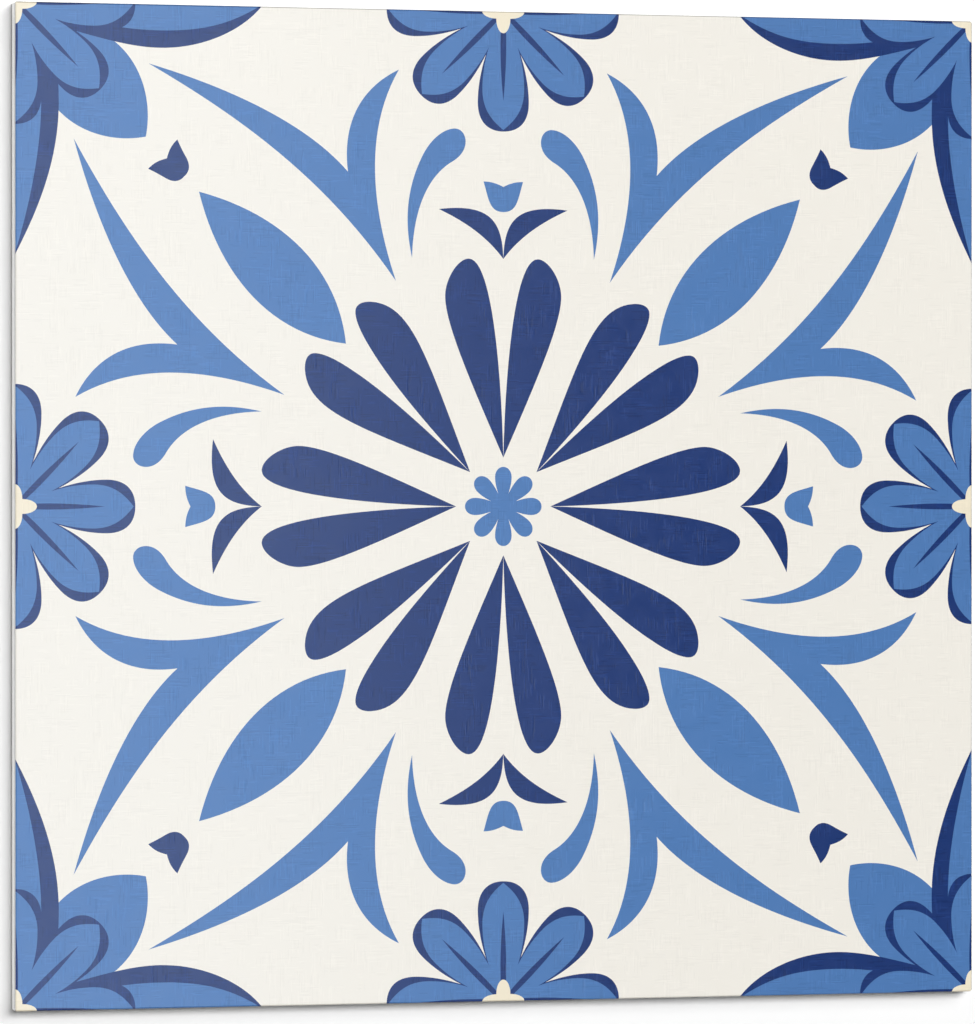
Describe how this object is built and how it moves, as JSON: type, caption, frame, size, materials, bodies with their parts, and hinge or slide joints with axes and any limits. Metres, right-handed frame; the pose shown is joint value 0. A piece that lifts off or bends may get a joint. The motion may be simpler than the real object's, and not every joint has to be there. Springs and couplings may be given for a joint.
{
  "type": "self-adhesive vinyl tile",
  "caption": "Square stiff vinyl tile with a traditional blue floral print, embossed face, adhesive back and peel-off release liner, laid side by side on a wall or floor.",
  "frame": {"origin": "centre of the release liner's underside, on the surface that the tile lies on", "axes": "+Z out of the printed face, +Y to the top of the print as the picture shows it, +X to its right"},
  "size_m": [0.15, 0.15, 0.0028],
  "materials": {
    "printed_vinyl": "satin, with a fine linen emboss",
    "adhesive": "tacky, milky and translucent",
    "release_paper": "matte, siliconised on the inner side"
  },
  "bodies": {
    "root": {"release_liner": "release_paper", "adhesive_coat": "adhesive", "vinyl_tile": "printed_vinyl"}
  },
  "joints": []
}
